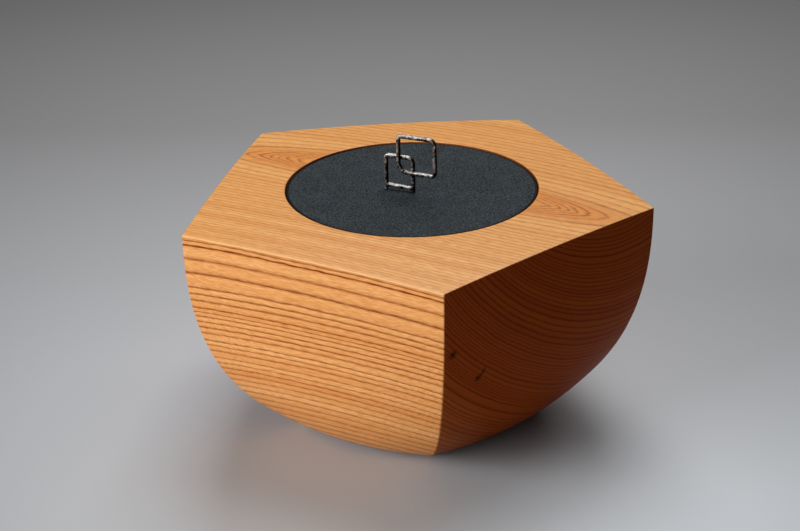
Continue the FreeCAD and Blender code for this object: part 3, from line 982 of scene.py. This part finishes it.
def hammered_silver():
    """Hammered silver, blackened and rubbed back.

    Patches of it are rubbed bright and patches stay black. Over that it has painted light:
    it is painted bright on the tops and fronts, towards the lamps, and black on the faces
    turned
    down, back and to the right: brightness is normal . painted light side + patches.
    """
    material, tree = new_material("hammered_blackened_silver")
    place = add(tree, "TexCoord").outputs["Object"]
    patch = {"Vector": place, "Scale": 1 / RUBBED_PATCH, "Detail": 3.0, "Roughness": 0.6}
    patch = add(tree, "TexNoise", patch).outputs[0]
    # painted light: faces turned towards the lamps get a brighter colour, on top of real
    # patches of rubbed and blackened silver
    rubbed = {0: add(tree, "NewGeometry").outputs["Normal"], 1: PAINTED_LIGHT_SIDE}
    rubbed = add(tree, "VectorMath", rubbed, operation="DOT_PRODUCT").outputs["Value"]
    rubbed = {0: patch, 1: RUBBED_UNEVENLY, 2: rubbed}
    rubbed = add(tree, "Math", rubbed, operation="MULTIPLY_ADD").outputs[0]
    bright = {"Value": rubbed, "From Min": 0.8, "From Max": 1.4}
    bright = add(tree, "MapRange", bright).outputs[0]
    colour = {0: bright, 6: linear("161312"), 7: linear("A39F9B")}
    colour = add(tree, "Mix", colour, data_type="RGBA").outputs[2]
    rough = {"Value": patch, "From Min": 0.35, "From Max": 0.7, "To Min": 0.24, "To Max": 0.4}
    rough = add(tree, "MapRange", rough).outputs[0]
    facet = {"Vector": place, "Scale": 1 / HAMMER_FACET, "Detail": 1.0}
    facet = add(tree, "TexNoise", facet).outputs[0]
    relief = {"Strength": 0.5, "Distance": 0.15 * MM, "Height": facet}
    relief = add(tree, "Bump", relief).outputs[0]
    shader = add(tree, "BsdfPrincipled", {
        "Base Color": colour, "Metallic": 1.0, "Roughness": rough, "Normal": relief,
    })
    add(tree, "OutputMaterial", {0: shader.outputs[0]})
    return material


# ---------------------------------------------------------------- studio

VIEW_AZIMUTH = math.radians(30.0035)    # round from the front, towards the right
VIEW_ELEVATION = math.radians(24.4224)
VIEW_ROLL = math.radians(-0.9825)
VIEW_DISTANCE = 991.9 * MM
VIEW_AIM = (45.73 * MM, -94.78 * MM, RIM_HEIGHT)
VIEW_LENS = 81.945                      # mm, on this sensor
VIEW_SENSOR = 36

FLOOR_HALF = 6.0                        # half its width, in metres as all below
FLOOR_NEAR = -0.6                       # along the view, from the jar's axis
FLOOR_FAR = 1.8
FLOOR_PAINTED_FALLOFF = (                        # distance along the view and the colour there, with painted light falling off away from the camera
    (FLOOR_NEAR, "DEE1E5"),
    (-0.15, "CBCFD3"),
    (0.2, "A6A7AA"),
    (0.5, "828283"),
    (0.89, "676768"),
    (FLOOR_FAR, "505051"),
)
FAN_TIP = 1.0                           # painted light: the paper is lightest in a fan that opens from
FAN_BLUR = 0.2                          # this far in front of the jar, blurred there,
FAN_TURN = math.radians(3.0)            # leans to the left, and has its middle
FAN_ASIDE = 0.025                       # this far to the right of the jar
FAN_WIDTH = 0.1                         # square of its half width to its length
FAN_SHADE = 0.32                        # beside it, the paper is darker by this share,
FAN_BEGINS = (-1.1, -0.16)              # from none to all between these distances
FLOOR_LIT = 1.5                         # the lamps light the paper out to here
FLOOR_MERGED = 3.0                      # from here it is one with the backdrop
BACKDROP = "66676A"
FILL = 0.03                             # light from all round

SOFTBOXES = (         # name, azimuth, elevation, distance, width and height, and watts
    ("front_left_softbox", -32, 21, 2.4, 1.4, 1.3, 43),
    ("low_front_softbox", -20, 5, 2.4, 1.4, 0.8, 19),
    ("overhead_softbox", -160, 68, 2.2, 1.3, 1.3, 22),
    ("back_softbox", -155, 50, 2.4, 1.4, 1.0, 20),
    ("right_back_softbox", 165, 40, 2.4, 1.0, 1.2, 9),
)


def bearing(azimuth, elevation):
    """Unit vector away from the jar: azimuth turns from the front to the right."""
    level = math.cos(elevation)
    return Vector((
        math.sin(azimuth) * level, -math.cos(azimuth) * level, math.sin(elevation)
    ))


def studio_camera():
    """The camera, from its bearing and distance round the point that it aims at."""
    back = bearing(VIEW_AZIMUTH, VIEW_ELEVATION)
    right = Vector((0, 0, 1)).cross(back).normalized()
    up = back.cross(right)
    rolled_right = right * math.cos(VIEW_ROLL) + up * math.sin(VIEW_ROLL)
    rolled_up = up * math.cos(VIEW_ROLL) - right * math.sin(VIEW_ROLL)
    axes = Matrix((rolled_right, rolled_up, back)).transposed()
    camera = bpy.data.objects.new("studio_camera", bpy.data.cameras.new("studio_camera"))
    bpy.context.scene.collection.objects.link(camera)
    camera.matrix_world = Matrix.LocRotScale(
        Vector(VIEW_AIM) + back * VIEW_DISTANCE, axes.to_quaternion(), None
    )
    camera.data.sensor_width = VIEW_SENSOR
    camera.data.lens = VIEW_LENS
    camera.data.clip_start = 0.05
    camera.data.clip_end = 50
    bpy.context.scene.camera = camera


def soft_light(name, azimuth, elevation, distance, width, height, power):
    """A rectangular softbox at this bearing and distance, aimed at the jar."""
    back = bearing(math.radians(azimuth), math.radians(elevation))
    lamp = bpy.data.lights.new(name, "AREA")
    lamp.shape = "RECTANGLE"
    lamp.size = width
    lamp.size_y = height
    lamp.energy = power
    box = bpy.data.objects.new(name, lamp)
    bpy.context.scene.collection.objects.link(box)
    box.location = Vector((0, 0, RIM_HEIGHT / 2)) + back * distance
    box.rotation_euler = back.to_track_quat("Z", "Y").to_euler()


def seen_directly(tree):
    """1 for rays from the camera and through or off a gloss, 0 for rays that carry light."""
    path = add(tree, "LightPath").outputs
    seen = {0: path["Is Camera Ray"], 1: path["Is Glossy Ray"]}
    seen = add(tree, "Math", seen, operation="MAXIMUM").outputs[0]
    seen = {0: seen, 1: path["Is Transmission Ray"]}
    return add(tree, "Math", seen, operation="MAXIMUM").outputs[0]


def painted_light_fan(tree, place, depth):
    """Painted light on the paper: 1 in the fan's middle, 1 - FAN_SHADE beside the fan.

    With a the distance aside from the fan's middle and b the depth from its tip, the
    paper darkens evenly with a^2 / (b^2 + blur^2), until that reaches FAN_WIDTH.
    """
    turn = VIEW_AZIMUTH + FAN_TURN
    aside = {0: place, 1: (math.cos(turn), math.sin(turn), 0)}
    aside = add(tree, "VectorMath", aside, operation="DOT_PRODUCT").outputs["Value"]
    aside = add(tree, "Math", {0: aside, 1: FAN_ASIDE}, operation="SUBTRACT").outputs[0]
    aside = add(tree, "Math", {0: aside, 1: aside}, operation="MULTIPLY").outputs[0]
    length = add(tree, "Math", {0: depth, 1: FAN_TIP}, operation="ADD").outputs[0]
    length = {0: length, 1: length, 2: FAN_BLUR**2}
    length = add(tree, "Math", length, operation="MULTIPLY_ADD").outputs[0]
    spread = add(tree, "Math", {0: aside, 1: length}, operation="DIVIDE").outputs[0]
    shade = {"Value": spread, "From Max": FAN_WIDTH, "To Max": FAN_SHADE}
    shade = add(tree, "MapRange", shade).outputs[0]
    begun = {"Value": depth, "From Min": FAN_BEGINS[0], "From Max": FAN_BEGINS[1]}
    begun = add(tree, "MapRange", begun, interpolation_type="SMOOTHSTEP").outputs[0]
    shade = add(tree, "Math", {0: shade, 1: begun}, operation="MULTIPLY").outputs[0]
    return add(tree, "Math", {0: 1.0, 1: shade}, operation="SUBTRACT").outputs[0]


def studio_floor():
    """A large floor of matt paper with painted light: pale near the camera, greyer far away
    and to the sides.
    """
    material, tree = new_material("matt_studio_paper")
    place = add(tree, "TexCoord").outputs["Object"]
    away = {0: place, 1: (-math.sin(VIEW_AZIMUTH), math.cos(VIEW_AZIMUTH), 0)}
    depth = add(tree, "VectorMath", away, operation="DOT_PRODUCT").outputs["Value"]
    share = {"Value": depth, "From Min": FLOOR_NEAR, "From Max": FLOOR_FAR}
    share = add(tree, "MapRange", share).outputs[0]
    paper = add(tree, "ValToRGB", {"Fac": share})
    span = FLOOR_FAR - FLOOR_NEAR
    shades = [((at - FLOOR_NEAR) / span, linear(shade)) for at, shade in FLOOR_PAINTED_FALLOFF]
    set_stops(paper.color_ramp, shades)
    colour = {0: paper.outputs[0], "Scale": painted_light_fan(tree, place, depth)}
    colour = add(tree, "VectorMath", colour, operation="SCALE").outputs[0]
    lit = {"Base Color": colour, "Roughness": 0.9, "Specular IOR Level": 0.2}
    lit = add(tree, "BsdfPrincipled", lit)
    out = add(tree, "VectorMath", {0: place}, operation="LENGTH").outputs["Value"]
    merge = {"Value": out, "From Min": FLOOR_LIT, "From Max": FLOOR_MERGED}
    merge = add(tree, "MapRange", merge, interpolation_type="SMOOTHSTEP").outputs[0]
    merge = {0: merge, 1: seen_directly(tree)}
    merge = add(tree, "Math", merge, operation="MULTIPLY").outputs[0]
    backdrop = add(tree, "Emission", {"Color": linear(BACKDROP)})
    both = {0: merge, 1: lit.outputs[0], 2: backdrop.outputs[0]}
    both = add(tree, "MixShader", both)
    add(tree, "OutputMaterial", {0: both.outputs[0]})

    mesh = bpy.data.meshes.new("studio_floor")
    half = FLOOR_HALF
    corners = [(-half, -half, 0), (half, -half, 0), (half, half, 0), (-half, half, 0)]
    mesh.from_pydata(corners, [], [(0, 1, 2, 3)])
    mesh.materials.append(material)
    floor = bpy.data.objects.new("studio_floor", mesh)
    bpy.context.scene.collection.objects.link(floor)


def studio_world():
    """Dim even light from all round; what the camera or a gloss sees of it is grey."""
    world = bpy.data.worlds.new("studio")
    bpy.context.scene.world = world
    world.use_nodes = True
    tree = world.node_tree
    shade = {0: seen_directly(tree), 6: (FILL, FILL, FILL, 1), 7: linear(BACKDROP)}
    shade = add(tree, "Mix", shade, data_type="RGBA").outputs[2]
    background = tree.nodes["Background"]
    tree.links.new(shade, background.inputs["Color"])
    background.inputs["Strength"].default_value = 1.0


# ---------------------------------------------------------------- the scene

def main():
    """The jar, its lid and knob, and the studio round them."""
    wood = zelkova()
    lacquer = stone_lacquer()
    silver = hammered_silver()
    draw = np.random.default_rng(HAMMER_SEED)
    mesh_piece("jar", [jar_skin()], wood, "jar", "vessel_body")
    mesh_piece("lid", [lid_skin()], lacquer, "lid", "lid_board")
    low = low_loop_skins(draw)
    mesh_piece("low_loop", low, silver, "lid", "knob_lower_ring")
    high = [high_loop_skin(draw)]
    mesh_piece("high_loop", high, silver, "lid", "knob_upper_ring")
    washers = [washer_skin(-LOW_WIDTH), washer_skin(0)]
    mesh_piece("washers", washers, silver, "lid", "knob_washers")

    bpy.context.scene.view_settings.view_transform = "Standard"
    studio_camera()
    studio_floor()
    studio_world()
    for softbox in SOFTBOXES:
        soft_light(*softbox)


main()
